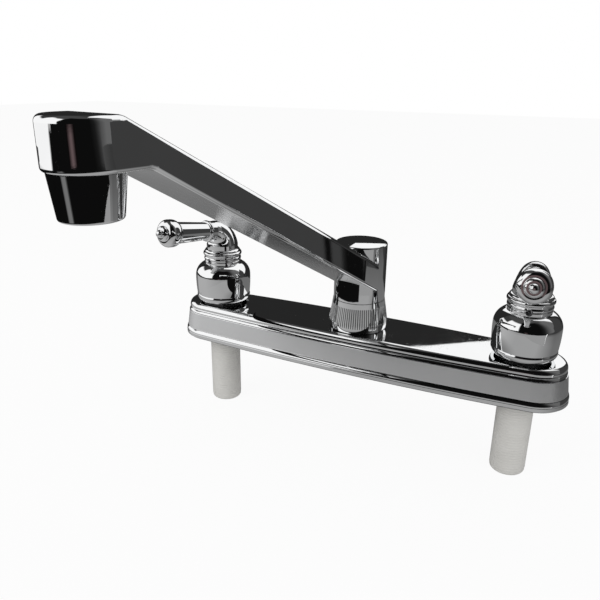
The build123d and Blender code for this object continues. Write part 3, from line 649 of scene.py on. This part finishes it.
def card(name, points, faces, shades, tint):
    """A mesh that only reflections see, glowing by the shade at each point."""
    mesh = mesh_of(name, points, faces)
    mesh.attributes.new("shade", "FLOAT", "POINT").data.foreach_set("value", shades)
    piece = in_scene(name, mesh)
    for kind in ("camera", "diffuse", "transmission", "volume_scatter", "shadow"):
        setattr(piece, "visible_" + kind, False)
    glow = bpy.data.materials.new(name)
    glow.use_nodes = True
    glow.cycles.emission_sampling = "NONE"
    tree = Tree(glow.node_tree)
    tree.nodes.remove(tree.nodes["Principled BSDF"])
    shade = tree.node("ShaderNodeAttribute", attribute_name="shade")
    light = tree.node("ShaderNodeEmission")
    light.inputs["Color"].default_value = tint
    tree.link(shade.outputs["Fac"], light.inputs["Strength"])
    tree.link(light.outputs[0], tree.nodes["Material Output"].inputs["Surface"])
    mesh.materials.append(glow)


def grid_card(name, columns, rows, place, shade, tint=WHITE):
    """A card over a grid of columns and rows, left open where the shade is white."""
    points = [place(column, row) for row in rows for column in columns]
    shades = [shade(column, row) for row in rows for column in columns]
    width = len(columns)
    faces = []
    for row in range(len(rows) - 1):
        for column in range(width - 1):
            first = row * width + column
            corners = (first, first + 1, first + width + 1, first + width)
            if min(shades[corner] for corner in corners) < OPEN_FROM:
                faces.append(corners)
    card(name, points, faces, shades, tint)


def degrees(low, high):
    """The angles of a card's columns or rows, with both ends."""
    return range(low, high + 1, ANGLE_STEP)


all_round = degrees(-HALF_TURN, HALF_TURN)
front_side = degrees(STEP_FROM, STEP_TO)
back_side = degrees(STEP_TO, STEP_FROM + FULL_TURN)
step_radii = steps(TABLE_RADIUS, CARD_RADIUS, STEP_RINGS)
screen_columns = steps(SCREEN_LEFT, SCREEN_RIGHT, SCREEN_COLUMNS)
grid_card("surround_card", all_round, degrees(DOME_LOWEST, DOME_HIGHEST), on_dome, surround_shade)
grid_card("table_card", front_side, steps(0, TABLE_RADIUS, TABLE_RINGS), around, table_shade)
grid_card("curb_card", front_side, (TABLE_LEVEL, STEP_LEVEL), on_curb, curb_shade)
grid_card("step_card", front_side, step_radii, on_step, step_shade)
grid_card("table_card_behind", back_side, steps(0, CARD_RADIUS, BACK_RINGS), around, table_shade)
grid_card("curtain_card", CURTAIN_AZIMUTHS, CURTAIN_LEVELS, on_curtain, curtain_shade, CURTAIN_TINT)
grid_card("block_card", BLOCK_AZIMUTHS, FOOT_AND_TOP, on_block, block_shade)
grid_card("screen_card", screen_columns, FOOT_AND_TOP, on_screen, screen_shade)

# ------------------------------------------------------------------ lamps
LAMP_TARGET = Vector((0, 0, 0.03))
LAMP_SIZE = 1.2


def lamp(name, place, power):
    """A square softbox that shines on the part and doesn't show in reflections."""
    data = bpy.data.lights.new(name, "AREA")
    data.shape = "SQUARE"
    data.size = LAMP_SIZE
    data.energy = power
    piece = in_scene(name, data)
    piece.location = place
    piece.rotation_euler = (LAMP_TARGET - Vector(place)).to_track_quat("-Z", "Y").to_euler()
    piece.visible_glossy = False


lamp("key_softbox", place=(-0.9, -1.3, 1.2), power=11)
lamp("fill_softbox", place=(1.3, -0.7, 0.9), power=5)

# ------------------------------------------------------------------ camera, solved from the photo
CAMERA_PLACE = (0.12617, -0.34607, 0.17415)
AZIMUTH = math.radians(25.859)
ELEVATION = math.radians(20.028)
ROLL = math.radians(-0.672)
FOCAL_PIXELS = 613.65
FRAME_PIXELS = 600
SENSOR_WIDTH = 36.0
CLIP_START = 0.01

look = Vector((
    -math.sin(AZIMUTH) * math.cos(ELEVATION),
    math.cos(AZIMUTH) * math.cos(ELEVATION),
    -math.sin(ELEVATION),
))
right = look.cross(UP).normalized()
down = look.cross(right)
rolled_right = math.cos(ROLL) * right + math.sin(ROLL) * down
rolled_down = math.cos(ROLL) * down - math.sin(ROLL) * right
camera_data = bpy.data.cameras.new("camera")
camera_data.sensor_width = SENSOR_WIDTH
camera_data.lens = SENSOR_WIDTH * FOCAL_PIXELS / FRAME_PIXELS
camera_data.clip_start = CLIP_START
camera = in_scene("camera", camera_data)
turn = Matrix((rolled_right, -rolled_down, -look)).transposed()
camera.matrix_world = Matrix.Translation(CAMERA_PLACE) @ turn.to_4x4()
bpy.context.scene.camera = camera
bpy.context.scene.view_settings.view_transform = "Standard"
